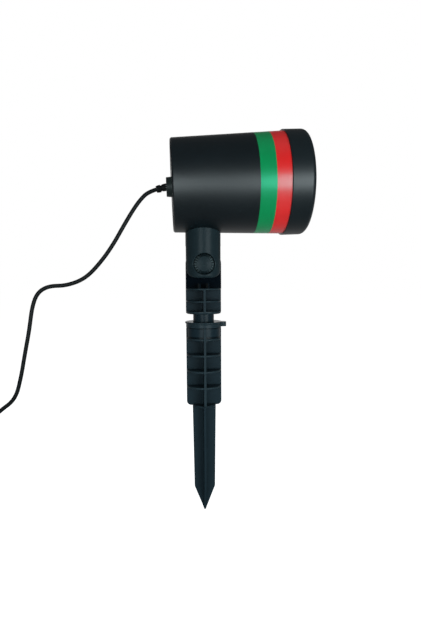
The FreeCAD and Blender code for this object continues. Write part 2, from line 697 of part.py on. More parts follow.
def laser_carrier():
    base = CARRIER_SEAT + SEAT_GAP
    plate = rod(barrel_r(CARRIER_SEAT) - WALL - LOOSE_FIT, base, base + CARRIER)
    radii = (GREEN_LASER_R, RED_LASER_R)
    for (x, y), radius in zip(laser_places(), radii):
        plate = plate.fuse(rod(radius + SLEEVE_WALL, base, base + CARRIER + SLEEVE_LENGTH, x, y))
    for (x, y), radius in zip(laser_places(), radii):
        plate = plate.cut(rod(radius + SEAT_GAP, base - OVERRUN, BARREL_LENGTH, x, y))
        plate = plate.cut(grub_hole(x, radius, SEAT_GAP))
    for x, y in carrier_screw_places():
        plate = plate.cut(rod(SCREW_R + BOLT_HOLE_FIT, base - OVERRUN, base + CARRIER + OVERRUN, x, y))
    return in_housing(plate)


def grub_hole(x, radius, grow):
    """The radial bore over one module that its grub screw fills."""
    height = CARRIER_SEAT + CARRIER + GRUB_RISE
    start = Vector(x, radius + SEAT_GAP, height)
    return Part.makeCylinder(GRUB_R + grow, SLEEVE_WALL, start, Vector(0, 1, 0))


def grub_screws():
    radii = (GREEN_LASER_R, RED_LASER_R)
    return in_housing(group(grub_hole(x, r, 0) for (x, y), r in zip(laser_places(), radii)))


def carrier_screws():
    screws = []
    for x, y in carrier_screw_places():
        body = screw(SCREW_LENGTH, SCREW_R, 0, 0, 0)
        body.rotate(ORIGIN, Vector(1, 0, 0), HALF_TURN)
        body.translate(Vector(x, y, CARRIER_SEAT + CARRIER + 2 * SEAT_GAP))
        screws.append(body)
    return in_housing(group(screws))


def laser_module(place, radius, length):
    x, y = place
    tail = CARRIER_SEAT - LASER_TAIL
    body = disc(radius, length, tail + length)
    body = body.cut(rod(LENS_R, tail + length - LENS_SINK, tail + length + OVERRUN))
    body.translate(Vector(x, y, 0))
    return in_housing(body)


def rear_cover():
    plate = rod(barrel_r(0) - WALL - BOLT_HOLE_FIT, COVER_INSET, COVER_BACK)
    posts = [rod(POST_R, COVER_BACK - EDGE, BOARD_BACK - SEAT_GAP, x, y)
             for x, y in on_circle(POST_COUNT, POST_CIRCLE_R)]
    well_r = BUTTON_R + BUTTON_SKIRT + LOOSE_FIT + WALL
    well = rod(well_r, COVER_BACK - EDGE, BUTTON_SINK + BUTTON_CAP + BUTTON_TRAVEL, 0, BUTTON_RISE)
    cover = plate.fuse(posts + [well])
    for x, y in on_circle(POST_COUNT, POST_CIRCLE_R):
        cover = cover.cut(rod(SCREW_R + SEAT_GAP, BOARD_BACK - SCREW_LENGTH, BOARD_FRONT, x, y))
    for x, y in cover_screw_places():
        cover = cover.cut(rod(SCREW_R + BOLT_HOLE_FIT, 0, COVER_BACK + OVERRUN, x, y))
        cover = cover.cut(rod(SCREW_HEAD_R + BOLT_HOLE_FIT, 0, cover_screw_seat(), x, y))
    cover = cover.cut(rod(BUTTON_R + LOOSE_FIT, 0, BOARD_BACK, 0, BUTTON_RISE))
    skirt_r = BUTTON_R + BUTTON_SKIRT + LOOSE_FIT
    cover = cover.cut(rod(skirt_r, button_skirt_base() - LOOSE_FIT, BOARD_BACK, 0, BUTTON_RISE))
    cover = cover.cut(rod(SENSOR_WINDOW_R + SEAT_GAP, COVER_BACK - SENSOR_WINDOW, COVER_BACK + EDGE,
                          0, -SENSOR_DROP))
    cover = cover.cut(rod(SENSOR_R, 0, COVER_BACK, 0, -SENSOR_DROP))
    return in_housing(cover.cut(rod(GLAND_THREAD_R + SEAT_GAP, 0, COVER_BACK + OVERRUN, 0, -GLAND_DROP)))


def cover_screw_seat():
    """Depth of the counterbores that sink the cover's screw heads."""
    return COVER_INSET + SCREW_HEAD + BOLT_HOLE_FIT


def cover_screws():
    seat = cover_screw_seat() - SEAT_GAP
    screws = [screw(SCREW_LENGTH, SCREW_R, x, y, seat) for x, y in cover_screw_places()]
    return in_housing(group(screws))


def button_skirt_base():
    """Where the button's retaining skirt starts behind the cover's outer face."""
    return COVER_INSET + COVER / 2


def power_button():
    face = BUTTON_SINK
    back = face + BUTTON_CAP
    skirt = button_skirt_base()
    cap = turned((0, face), (BUTTON_R - 2 * EDGE, face), (BUTTON_R, face + 2 * EDGE), (BUTTON_R, skirt),
                 (BUTTON_R + BUTTON_SKIRT, skirt), (BUTTON_R + BUTTON_SKIRT, back), (STEM_R, back),
                 (STEM_R, switch_base() + STEM_ENTRY), (0, switch_base() + STEM_ENTRY))
    cap.translate(Vector(0, BUTTON_RISE, 0))
    return in_housing(cap)


def switch_base():
    """Where the switch body starts, clear of the pressed button."""
    return BUTTON_SINK + BUTTON_CAP + BUTTON_TRAVEL + LOOSE_FIT


def power_switch():
    half = SWITCH_SIZE / 2
    base = switch_base()
    body = block((-half, BUTTON_RISE - half, base), (half, BUTTON_RISE + half, BOARD_BACK - SEAT_GAP))
    depth = STEM_ENTRY + BUTTON_TRAVEL + LOOSE_FIT
    return in_housing(body.cut(rod(STEM_R + RUN_FIT, base - OVERRUN, base + depth, 0, BUTTON_RISE)))


def sensor_window():
    base = COVER_BACK - SENSOR_WINDOW + SEAT_GAP
    return in_housing(rod(SENSOR_WINDOW_R, base, COVER_BACK, 0, -SENSOR_DROP))


def light_sensor():
    can = disc(SENSOR_R, SENSOR_LENGTH, BOARD_BACK - SEAT_GAP)
    can.translate(Vector(0, -SENSOR_DROP, 0))
    return in_housing(can)


def driver_board():
    board = rod(BOARD_R, BOARD_BACK, BOARD_FRONT)
    for x, y in on_circle(POST_COUNT, POST_CIRCLE_R):
        board = board.cut(rod(SCREW_R + BOLT_HOLE_FIT, BOARD_BACK - OVERRUN, BOARD_FRONT + OVERRUN, x, y))
    return in_housing(board)


def board_screws():
    screws = []
    for x, y in on_circle(POST_COUNT, POST_CIRCLE_R):
        body = screw(SCREW_LENGTH - BOARD, SCREW_R, 0, 0, 0)
        body.rotate(ORIGIN, Vector(1, 0, 0), HALF_TURN)
        body.translate(Vector(x, y, BOARD_FRONT + SEAT_GAP))
        screws.append(body)
    return in_housing(group(screws))


def capacitors():
    spots = [(-CAPACITOR_R - EDGE, BOARD_R / 2), (CAPACITOR_R + EDGE, BOARD_R / 2)]
    cans = []
    for x, y in spots:
        can = disc(CAPACITOR_R, CAPACITOR_LENGTH, BOARD_FRONT + SEAT_GAP + CAPACITOR_LENGTH)
        can.translate(Vector(x, y, 0))
        cans.append(can)
    return in_housing(group(cans))


def inductor():
    base = BOARD_FRONT + SEAT_GAP
    core = turned((INDUCTOR_HOLE_R, base), (INDUCTOR_R, base), (INDUCTOR_R, base + INDUCTOR_HEIGHT),
                  (INDUCTOR_HOLE_R, base + INDUCTOR_HEIGHT))
    core.translate(Vector(0, -BOARD_R / 2, 0))
    return in_housing(core)


def connector_places():
    return [(x, -CONNECTOR_SIZE / 2) for x in (-LASER_SPACING / 2, LASER_SPACING / 2)]


def connectors():
    half = CONNECTOR_SIZE / 2
    base = BOARD_FRONT + SEAT_GAP
    shells = [block((x - half, y - half, base), (x + half, y + half, base + CONNECTOR_HEIGHT))
              for x, y in connector_places()]
    inlet = block((-half, -GLAND_DROP - half, BOARD_BACK - SEAT_GAP - CONNECTOR_HEIGHT),
                  (half, half - GLAND_DROP, BOARD_BACK - SEAT_GAP))
    return in_housing(group(shells + [inlet]))


def cable_gland():
    body = turned((0, GLAND_END), (GLAND_R - GLAND_TAPER - EDGE, GLAND_END),
                  (GLAND_R - GLAND_TAPER, GLAND_END + EDGE), (GLAND_R, COVER_INSET - SEAT_GAP),
                  (GLAND_THREAD_R, COVER_INSET - SEAT_GAP), (GLAND_THREAD_R, COVER_BACK + 2 * GLAND_NUT),
                  (0, COVER_BACK + 2 * GLAND_NUT))
    body = body.cut(rod(CORD_R + SEAT_GAP, GLAND_END - OVERRUN, COVER_BACK + 2 * GLAND_NUT + OVERRUN))
    body.translate(Vector(0, -GLAND_DROP, 0))
    return in_housing(body)


def gland_nut():
    base = COVER_BACK + SEAT_GAP
    nut = hexagon(GLAND_NUT_FLATS, base, base + GLAND_NUT)
    nut = nut.cut(rod(GLAND_THREAD_R + SEAT_GAP, base - OVERRUN, base + GLAND_NUT + OVERRUN))
    nut.translate(Vector(0, -GLAND_DROP, 0))
    return in_housing(nut)


def strain_relief():
    """Soft sleeves with narrow grooves between them, where the relief can bend."""
    front = GLAND_END - SEAT_GAP
    sleeve = (RELIEF_LENGTH - (RELIEF_SLEEVES - 1) * RELIEF_GROOVE) / RELIEF_SLEEVES
    profile = [(0, -RELIEF_LENGTH)]
    for k in range(RELIEF_SLEEVES):
        end = k * (sleeve + RELIEF_GROOVE) + sleeve - RELIEF_LENGTH
        profile += [(RELIEF_R - RELIEF_TAPER, end - sleeve), (RELIEF_R, end - sleeve / 2)]
        if k < RELIEF_SLEEVES - 1:
            profile += [(RELIEF_R, end), (RELIEF_WAIST_R, end), (RELIEF_WAIST_R, end + RELIEF_GROOVE)]
    profile += [(RELIEF_R, RELIEF_R), (0, RELIEF_R)]
    body = turned(*profile)
    body.Placement = relief_frame()
    return in_housing(body.cut(rod(GLAND_R, front, COVER_BACK, 0, -GLAND_DROP)))


def relief_frame():
    """Where the strain relief starts on the gland, turned down by its droop."""
    return Placement(Vector(0, -GLAND_DROP, GLAND_END), Rotation(Vector(-1, 0, 0), RELIEF_DROOP))


def unit(vector):
    return Vector(vector).normalize()


def bend(corner, start, end):
    """An arc that leaves the start towards the corner and reaches the end from it."""
    reach = (start - corner).Length
    middle = unit((start - corner) + (end - corner))
    half = unit(start - corner).getAngle(unit(end - corner)) / 2
    crown = corner + middle * (reach / math.cos(half) - reach * math.tan(half))
    return Part.Arc(start, crown, end).toShape(), reach * math.tan(half)


def bent_path(points):
    """Straight runs joined by tangent arcs as large as the runs allow, and the arcs' radii."""
    edges, radii = [], []
    start = points[0]
    for before, corner, after in zip(points, points[1:], points[2:]):
        reach = BEND_SHARE * min((before - corner).Length, (after - corner).Length)
        enter = corner + unit(before - corner) * reach
        leave = corner + unit(after - corner) * reach
        edges.append(Part.LineSegment(start, enter).toShape())
        arc, radius = bend(corner, enter, leave)
        edges.append(arc)
        radii.append(radius)
        start = leave
    edges.append(Part.LineSegment(start, points[-1]).toShape())
    return Part.Wire(edges), radii


def tube(path, radius):
    """A round tube along a path, square at its ends."""
    first = path.Edges[0]
    direction = first.tangentAt(first.FirstParameter)
    circle = Part.Wire(Part.makeCircle(radius, first.valueAt(first.FirstParameter), direction))
    return path.makePipeShell([circle], True)


def cord_route():
    """Points of the free lead, from the strain relief to the start of the coil."""
    relief = HOUSING * relief_frame()
    exit_point = relief.multVec(Vector(0, 0, -RELIEF_LENGTH - SEAT_GAP))
    second = relief.multVec(Vector(0, 0, -RELIEF_LENGTH - SEAT_GAP - EXIT_RUN))
    touch = Vector(LANDING_X + LANDING_RUN, 0, COIL_FLOOR)
    landing = Vector(LANDING_X, 0, COIL_FLOOR)
    return [exit_point, second] + [Vector(x, 0, z) for x, z in ROUTE] + [touch, landing]


def power_cord():
    path, radii = bent_path(cord_route())
    print("lead exit", cord_route()[0], "second", cord_route()[1])
    print("lead radii", [round(r, 1) for r in radii])
    lead = tube(path, CORD_R)
    print("lead length", round(path.Length, 1),
          "volume share", lead.Volume / (math.pi * CORD_R ** 2 * path.Length))
    return lead


def supply_lead():
    """The lead's end inside the housing, from the gland to the board's inlet."""
    inlet = BOARD_BACK - 2 * SEAT_GAP - CONNECTOR_HEIGHT
    return in_housing(rod(CORD_R, GLAND_END, inlet, 0, -GLAND_DROP))


def module_leads():
    tail = CARRIER_SEAT - LASER_TAIL - SEAT_GAP
    start_height = BOARD_FRONT + 2 * SEAT_GAP + CONNECTOR_HEIGHT
    gap = tail - start_height
    leads = []
    for (x, y), (u, v) in zip(connector_places(), laser_places()):
        sway = gap / 4
        points = [Vector(x, y, start_height), Vector(x, y, start_height + gap / 4),
                  Vector(x + sway, y + sway / 2, start_height + gap / 2), Vector(u, v, tail - gap / 4),
                  Vector(u, v, tail)]
        leads.append(tube(bent_path(points)[0], WIRE_R))
    return in_housing(group(leads))


def coil_place(turns):
    """A point of the coil after a number of turns: the spiral runs in and out, layer by layer."""
    width = COIL_TURNS * COIL_PITCH
    layer = min(int(turns / COIL_TURNS), COIL_LAYERS - 1)
    along = turns - layer * COIL_TURNS
    inward = layer % 2 == 0
    depth = along if inward else COIL_TURNS - along
    radius = COIL_MID_R + width / 2 - depth * COIL_PITCH
    height = COIL_FLOOR
    for step in range(1, COIL_LAYERS):
        share = (turns - step * COIL_TURNS + LIFT_TURNS / 2) / LIFT_TURNS
        height += COIL_PITCH * math.sin(min(max(share, 0), 1) * math.pi / 2) ** 2
    angle = -math.pi / 2 - 2 * math.pi * turns
    outer = COIL_MID_R + width / 2
    start = LANDING_X - 2 * CORD_R
    return Vector(start + radius * math.cos(angle), outer + radius * math.sin(angle), height)


def coil_direction(turns):
    step = TOLERANCE
    low = max(turns - step, 0)
    high = min(turns + step, COIL_TURNS * COIL_LAYERS)
    return unit(coil_place(high) - coil_place(low))


def biarc(start, leave, end, arrive):
    """Two arcs that join two points with given directions."""
    chord = end - start
    both = leave + arrive
    a = 4 - both.dot(both)
    b = 2 * chord.dot(both)
    c = -chord.dot(chord)
    reach = (-b + math.sqrt(b * b - 4 * a * c)) / (2 * a) if a > TOLERANCE ** 2 else -c / b
    near = start + leave * reach
    far = end - arrive * reach
    joint = (near + far) / 2
    return [bend(near, start, joint)[0], bend(far, joint, end)[0]]


def coil_path():
    quarters = math.ceil(COIL_TURNS * COIL_LAYERS * QUARTERS)
    marks = [k * COIL_TURNS * COIL_LAYERS / quarters for k in range(quarters + 1)]
    entry = Vector(-1, 0, 0)
    heading = math.pi - 2 * math.pi * marks[-1]
    leave = Vector(math.cos(heading), math.sin(heading), 0)
    ways = [entry] + [coil_direction(m) for m in marks[1:-1]] + [leave]
    points = [coil_place(m) for m in marks]
    edges = [Part.LineSegment(points[0] - entry * (2 * CORD_R), points[0]).toShape()]
    for k in range(quarters):
        edges += biarc(points[k], ways[k], points[k + 1], ways[k + 1])
    tail = points[-1] + leave * COIL_TAIL
    edges.append(Part.LineSegment(points[-1], tail).toShape())
    return Part.Wire(edges), tail, leave


def least_gap(path):
    """Smallest distance between turns of the coil, less the tube, measured on points."""
    count = int(path.Length / CORD_R)
    points = path.discretize(Number=count)
    step = path.Length / (count - 1)
    near = int(math.pi * (COIL_MID_R / 2) / step)
    least = min((points[i] - points[j]).Length for i in range(count) for j in range(i + near, count))
    return least - 2 * CORD_R


def cord_coil():
    path = coil_path()[0]
    coil = tube(path, CORD_R)
    print("coil length", round(path.Length, 1), "least gap", round(least_gap(path), 2),
          "volume share", coil.Volume / (math.pi * CORD_R ** 2 * path.Length))
    return coil


def cord_tie():
    """A flat band around the coil's bundle, on the side away from the lead."""
    half = COIL_TURNS * COIL_PITCH / 2 + CORD_R + TIE_GAP
    low = COIL_FLOOR - CORD_R - TIE_GAP
    high = COIL_TOP + CORD_R + TIE_GAP
    start = coil_place(0)
    middle = start.y + COIL_TURNS * COIL_PITCH / 2 + 2 * COIL_MID_R
    near = middle - half
    far = middle + half
    outer = block((start.x - TIE_WIDTH / 2, near - TIE, low - TIE),
                  (start.x + TIE_WIDTH / 2, far + TIE, high + TIE))
    return outer.cut(block((start.x - TIE_WIDTH, near, low), (start.x + TIE_WIDTH, far, high)))


def adapter_frame():
    """Start and direction of the adapter, where its strain relief takes the lead."""
    tail, way = coil_path()[1:]
    flat = math.degrees(math.atan2(way.y, way.x))
    return Placement(tail, Rotation(UP, flat))


def at_adapter(shape):
    """Puts a shape built along X beside the coil, its strain relief on the lead's end."""
    placed = shape.copy()
    placed.Placement = adapter_frame() * placed.Placement
    return placed


def adapter_box(inset):
    """Low and high corners of the adapter's case, drawn in all round."""
    floor = FLOOR_GAP - COIL_TOP
    low = (ADAPTER_RELIEF + inset, inset - ADAPTER_WIDTH / 2, floor + inset)
    high = (ADAPTER_RELIEF + ADAPTER_LENGTH - inset, ADAPTER_WIDTH / 2 - inset,
            floor + ADAPTER_HEIGHT - inset)
    return low, high


def adapter_shell():
    outer = rounded_block(*adapter_box(0), ADAPTER_CORNER, UP)
    return outer.cut(block(*adapter_box(ADAPTER_WALL)))


def adapter_half(keep_low):
    """One half of the case, parted at the seam."""
    low, high = adapter_box(-OVERRUN)
    seam = FLOOR_GAP - COIL_TOP + ADAPTER_SEAM
    if keep_low:
        cutter = block((low[0], low[1], seam - SEAT_GAP), high)
    else:
        cutter = block(low, (high[0], high[1], seam))
    return adapter_shell().cut(cutter)


def adapter_case():
    return at_adapter(adapter_half(True))


def blade_places():
    x = ADAPTER_RELIEF + ADAPTER_LENGTH - BLADE_SETBACK
    return [(x, side * BLADE_SPACING / 2) for side in (-1, 1)]


def blade(x, y, grow):
    top = adapter_box(0)[1][2]
    return block((x - BLADE_WIDTH / 2 - grow, y - BLADE / 2 - grow, top - ADAPTER_WALL - BLADE_ROOT),
                 (x + BLADE_WIDTH / 2 + grow, y + BLADE / 2 + grow, top + BLADE_LENGTH))


def adapter_cover():
    cover = adapter_half(False)
    for x, y in blade_places():
        cover = cover.cut(blade(x, y, SEAT_GAP))
    return at_adapter(cover)


def adapter_blades():
    return at_adapter(group(blade(x, y, 0) for x, y in blade_places()))


def adapter_relief():
    end = ADAPTER_RELIEF - SEAT_GAP
    relief = turned((0, SEAT_GAP), (ADAPTER_RELIEF_TIP_R, SEAT_GAP), (ADAPTER_RELIEF_R, end), (0, end))
    relief.rotate(ORIGIN, Vector(0, 1, 0), QUARTER_TURN)
    return at_adapter(relief)


def adapter_board():
    low, high = adapter_box(ADAPTER_WALL)
    return at_adapter(block((low[0] + SEAT_GAP, low[1] + SEAT_GAP, low[2] + SEAT_GAP),
                            (high[0] - SEAT_GAP, high[1] - SEAT_GAP, low[2] + SEAT_GAP + ADAPTER_BOARD)))


def adapter_transformer():
    low = adapter_box(ADAPTER_WALL)[0]
    base = low[2] + 2 * SEAT_GAP + ADAPTER_BOARD
    middle = ADAPTER_RELIEF + ADAPTER_LENGTH / 2
    return at_adapter(block((middle - CORE_LENGTH / 2, -CORE_WIDTH / 2, base),
                            (middle + CORE_LENGTH / 2, CORE_WIDTH / 2, base + CORE_HEIGHT)))


def main():
    green_place, red_place = laser_places()
    nodes = {
        "ground_stake": ground_stake(),
        "lock_ring": lock_ring(),
        "stake_head": stake_head(),
        "friction_washers": friction_washers(),
        "neck_fork": neck_fork(),
        "neck_screws": neck_screws(),
        "pivot_bolt": pivot_bolt(),
        "clamp_knob": clamp_knob(),
        "knob_nut": knob_nut(),
        "housing_shell": housing_shell(),
        "green_band": colour_band(GREEN_START + SEAT_GAP, GREEN_END),
        "red_band": colour_band(GREEN_END + SEAT_GAP, BARREL_LENGTH),
        "front_bezel": front_bezel(),
        "window_seal": window_seal(),
        "window_glass": window_glass(),
        "baffle_plate": baffle_plate(),
        "green_grating": grating(green_place),
        "red_grating": grating(red_place),
        "grating_rings": grating_rings(),
        "laser_carrier": laser_carrier(),
        "carrier_screws": carrier_screws(),
        "green_laser": laser_module(green_place, GREEN_LASER_R, GREEN_LASER_LENGTH),
        "red_laser": laser_module(red_place, RED_LASER_R, RED_LASER_LENGTH),
        "grub_screws": grub_screws(),
        "module_leads": module_leads(),
        "driver_board": driver_board(),
        "board_screws": board_screws(),
        "capacitors": capacitors(),
        "inductor": inductor(),
        "connectors": connectors(),
        "power_switch": power_switch(),
        "light_sensor": light_sensor(),
        "rear_cover": rear_cover(),
        "cover_screws": cover_screws(),
        "power_button": power_button(),
        "sensor_window": sensor_window(),
        "cable_gland": cable_gland(),
        "gland_nut": gland_nut(),
        "strain_relief": strain_relief(),
        "supply_lead": supply_lead(),
        "power_cord": power_cord(),
        "cord_coil": cord_coil(),
        "cord_tie": cord_tie(),
        "adapter_relief": adapter_relief(),
        "adapter_case": adapter_case(),
        "adapter_cover": adapter_cover(),
        "adapter_blades": adapter_blades(),
        "adapter_board": adapter_board(),
        "adapter_transformer": adapter_transformer(),
    }
    os.makedirs("parts", exist_ok=True)
    for name, shape in nodes.items():
        box = shape.BoundBox
        print(name, "solids", len(shape.Solids), "valid", shape.isValid(), "volume", round(shape.Volume),
              "z", round(box.ZMin, 1), round(box.ZMax, 1))
        shape.exportStep(f"parts/{name}.step")


main()
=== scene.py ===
# %% [markdown]
# # A laser light on a garden stake
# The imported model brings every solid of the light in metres, in one frame: the tip of the spike is
# the origin, Z runs up the stake and X points the way the light goes. This lesson dresses it: a
# camera, studio light, the flexible lead, and a finish for every piece.

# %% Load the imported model
import json
import math
import bmesh
import bpy
from mathutils import Matrix, Vector


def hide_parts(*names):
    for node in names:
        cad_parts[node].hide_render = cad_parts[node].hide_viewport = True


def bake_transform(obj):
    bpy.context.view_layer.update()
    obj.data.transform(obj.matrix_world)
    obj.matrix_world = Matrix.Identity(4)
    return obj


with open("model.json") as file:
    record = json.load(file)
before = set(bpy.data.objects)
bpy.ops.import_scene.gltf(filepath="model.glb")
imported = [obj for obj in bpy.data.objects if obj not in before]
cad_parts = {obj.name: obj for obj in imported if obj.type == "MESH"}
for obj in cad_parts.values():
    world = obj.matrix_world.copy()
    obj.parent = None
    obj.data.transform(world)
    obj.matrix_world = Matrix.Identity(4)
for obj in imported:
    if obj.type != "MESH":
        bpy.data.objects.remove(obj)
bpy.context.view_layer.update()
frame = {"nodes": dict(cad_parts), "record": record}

nodes = frame["nodes"]
scene = bpy.context.scene

# %% [markdown]
# ## The camera
# The picture is taken from the side, a little below the head and half a metre away, so the round
# rims of the head show as narrow ellipses. A camera could be aimed with a constraint. Three turns
# are plainer here: round to the right, up to the level less a small dip, and a slight lean.

# %% Place the camera
IMAGE = (421, 631)
FOCAL_PIXELS = 478.6265
SENSOR = 36
NEAREST = 0.01
CAMERA_PLACE = (-0.03378, -0.47863, 0.24181)
TO_THE_RIGHT = 4.872
DIP = 4.813
LEAN = -0.382


def turned(degrees, axis):
    """A turn about an axis."""
    return Matrix.Rotation(math.radians(degrees), 4, axis)


view = bpy.data.cameras.new("side_view")
view.sensor_width = SENSOR
view.lens = SENSOR * FOCAL_PIXELS / max(IMAGE)
view.clip_start = NEAREST
camera = bpy.data.objects.new("side_view", view)
scene.collection.objects.link(camera)
aim = turned(-TO_THE_RIGHT, "Z") @ turned(90 - DIP, "X") @ turned(LEAN, "Z")
camera.matrix_world = Matrix.Translation(CAMERA_PLACE) @ aim
scene.camera = camera
scene.view_settings.view_transform = "Standard"
print("lens", round(view.lens, 2), "mm")

# %% [markdown]
# ## Sums with sockets
# A finish is a small calculation: a fine grain, a slow drift of tone, and a colour between them.
# Wiring nodes by hand hides that. This class wraps one socket, so that a sum in Python adds the
# Math nodes that it needs, and one method makes any other node. A few short functions name the
# nodes that come back in most finishes.

# %% Wrap a socket
class Wire:
    """A socket of a node tree that takes part in Python sums."""

    def __init__(self, tree, socket=None):
        self.tree = tree
        self.socket = socket

    def node(self, kind, settings=None, values=None, out=0):
        """Adds a node, sets it up, fills or links its sockets and wraps one of its outputs."""
        made = self.tree.nodes.new(kind)
        for name, value in (settings or {}).items():
            setattr(made, name, value)
        for name, value in (values or {}).items():
            if isinstance(value, Wire):
                self.tree.links.new(value.socket, made.inputs[name])
            else:
                made.inputs[name].default_value = value
        return Wire(self.tree, made.outputs[out])

    def __add__(self, other):
        return calculate("ADD", self, other)

    def __sub__(self, other):
        return calculate("SUBTRACT", self, other)

    def __rsub__(self, other):
        return calculate("SUBTRACT", other, self)

    def __mul__(self, other):
        return calculate("MULTIPLY", self, other)

    __radd__ = __add__
    __rmul__ = __mul__


def calculate(operation, *terms):
    """A Math node on one to three terms, of which at least one is a wire."""
    wire = next(term for term in terms if isinstance(term, Wire))
    return wire.node("ShaderNodeMath", {"operation": operation}, dict(enumerate(terms)))


def at_most(wire, limit):
    """A value, cut off at a limit."""
    return calculate("MINIMUM", wire, limit)


def rise(wire, low, high):
    """A smooth rise from zero at the low value to one at the high value."""
    return wire.node("ShaderNodeMapRange", {"interpolation_type": "SMOOTHSTEP"},
                     {"Value": wire, "From Min": low, "From Max": high})


def shade(colour, factor=1.0):
    """A colour made darker or lighter, with the fourth value that a socket takes."""
    return tuple(c * factor for c in colour) + (1.0,)


def mix(share, first, second):
    """A colour between two colours, by a share from 0 to 1."""
    return share.node("ShaderNodeMix", {"data_type": "RGBA"},
                      {"Factor": share, "A": first, "B": second}, 2)


def coordinates(tree, kind="Object"):
    """Where a point lies: in its object, or, for the room, in which direction."""
    return Wire(tree).node("ShaderNodeTexCoord", out=kind)


def axes(place):
    """The X, Y and Z of a place."""
    parts = place.node("ShaderNodeSeparateXYZ", None, {0: place}).socket.node.outputs
    return [Wire(place.tree, socket) for socket in parts]


print("socket sums ready")

# %% [markdown]
# ## A white room
# The light stands on a pale sheet that runs out of the picture, and the room behind it is white.
# Lamps bright enough to bleach a grey sheet would also bleach the black plastic. So the sheet and
# the room show plain white to the camera and through glass, and give only a mild light to the
# rest. In reflections they are dim near the camera, as a studio is, and brighten to the back: that
# gives the head the pale rim along its underside. Part of the sheet stays a real surface, so the
# shadow at the spike remains.

# %% Lay the floor and light the room
BLACK = (0.0, 0.0, 0.0)
WHITE = (1.0, 1.0, 1.0)
PAPER = (0.9, 0.9, 0.9)
ROOM_LEVEL = 0.2
DIM_LEVEL = 0.08
NEAR_LEVEL = 0.42
NEAR_SHEET = (-0.1, 0.4)
FAR_SHEET = (0.4, 3.4)
BACK_WALL = (0.75, 0.95)
SHEET_HALF = 15


def rays(tree):
    """One for the rays that see the background as it is, and one for reflections."""
    kinds = Wire(tree).node("ShaderNodeLightPath").socket.node.outputs
    straight = Wire(tree, kinds["Is Camera Ray"]) + Wire(tree, kinds["Is Transmission Ray"])
    return straight, Wire(tree, kinds["Is Glossy Ray"])


def close_tree(tree, kind, shader):
    """Links a shader to a new output node."""
    end = tree.nodes.new(kind)
    tree.links.new(shader.socket, end.inputs["Surface"])


def white_room():
    """The world: white to the camera, dim in reflections except far behind the light."""
    world = bpy.data.worlds.new("white_room")
    world.use_nodes = True
    tree = world.node_tree
    tree.nodes.clear()
    straight, glossy = rays(tree)
    seen = at_most(straight, 1.0)
    depth = axes(coordinates(tree, "Generated"))[1]
    behind = DIM_LEVEL + (1 - DIM_LEVEL) * rise(depth, *BACK_WALL)
    mild = ROOM_LEVEL * (1 - at_most(seen + glossy, 1.0))
    level = at_most(seen + glossy * behind + mild, 1.0)
    shine = level.node("ShaderNodeBackground", None, {"Color": shade(WHITE), "Strength": level})
    close_tree(tree, "ShaderNodeOutputWorld", shine)
    return world


def floor_finish():
    """The sheet: paper with a glow that only the camera, glass and reflections see."""
    made = bpy.data.materials.new("white_sheet")
    made.use_nodes = True
    tree = made.node_tree
    tree.nodes.clear()
    straight, glossy = rays(tree)
    seen = at_most(straight + glossy, 1.0)
    depth = axes(coordinates(tree))[1]
    near = (NEAR_LEVEL - DIM_LEVEL) * rise(depth, *NEAR_SHEET)
    swept = DIM_LEVEL + near + (1 - NEAR_LEVEL) * rise(depth, *FAR_SHEET)
    tone = mix(glossy, shade(WHITE), mix(swept, shade(BLACK), shade(WHITE)))
    paper = mix(glossy, shade(PAPER), shade(PAPER, DIM_LEVEL))
    sheet = paper.node("ShaderNodeBsdfDiffuse", None, {"Color": paper})
    missing = 1 - PAPER[0] * ROOM_LEVEL
    glow = tone.node("ShaderNodeEmission", None, {"Color": tone, "Strength": seen * missing})
    both = glow.node("ShaderNodeAddShader", None, {0: sheet, 1: glow})
    close_tree(tree, "ShaderNodeOutputMaterial", both)
    return made


scene.world = white_room()
sheet_mesh = bpy.data.meshes.new("white_sheet")
form = bmesh.new()
bmesh.ops.create_grid(form, x_segments=1, y_segments=1, size=SHEET_HALF)
form.to_mesh(sheet_mesh)
form.free()
sheet_mesh.materials.append(floor_finish())
floor = bpy.data.objects.new("white_sheet", sheet_mesh)
scene.collection.objects.link(floor)
print("floor and room ready")

# %% [markdown]
# ## Two tall softboxes
# On the black neck the photograph shows two upright streaks, and on the lying barrel one level
# streak at mid height. Both come from a pair of tall lamps, one on each side of the camera and at
# the height of the head. A wide lamp overhead lifts the upper faces. It is kept out of reflections,
# where it would show as a second streak on the barrel. Each tall lamp is given by the degrees that
# it fills, seen from the stake, and by how bright its face is.

# %% Set the lamps
DAYLIGHT = (0.87, 1.0, 1.03)
MIDDLE = (0.0, 0.0, 0.26)
REACH = 0.9
TALL = 0.40
LAMP_HEIGHT = 0.24
SOFTBOXES = {"softbox_left": (-30, -6, 4.8), "softbox_right": (14, 44, 6.2)}
WATTS_PER_AREA = 4
OVERHEAD = (0.1, 0.0, 1.3)
OVERHEAD_SIZE = (0.9, 0.9)
OVERHEAD_WATTS = 3.0


def softbox(name, place, size, watts):
    """A lamp with an even rectangular face, turned to the middle of the light."""
    lamp = bpy.data.lights.new(name, "AREA")
    lamp.shape = "RECTANGLE"
    lamp.size, lamp.size_y = size
    lamp.energy = watts
    lamp.color = DAYLIGHT
    made = bpy.data.objects.new(name, lamp)
    scene.collection.objects.link(made)
    made.location = place
    made.rotation_euler = (Vector(MIDDLE) - Vector(place)).to_track_quat("-Z", "Y").to_euler()
    return made


for name, (first, last, glow) in SOFTBOXES.items():
    angle = math.radians((first + last) / 2)
    width = 2 * REACH * math.tan(math.radians((last - first) / 2))
    spot = (REACH * math.sin(angle), -REACH * math.cos(angle), LAMP_HEIGHT)
    softbox(name, spot, (width, TALL), WATTS_PER_AREA * TALL * width * glow)
fill = softbox("overhead", OVERHEAD, OVERHEAD_SIZE, OVERHEAD_WATTS)
fill.visible_glossy = False

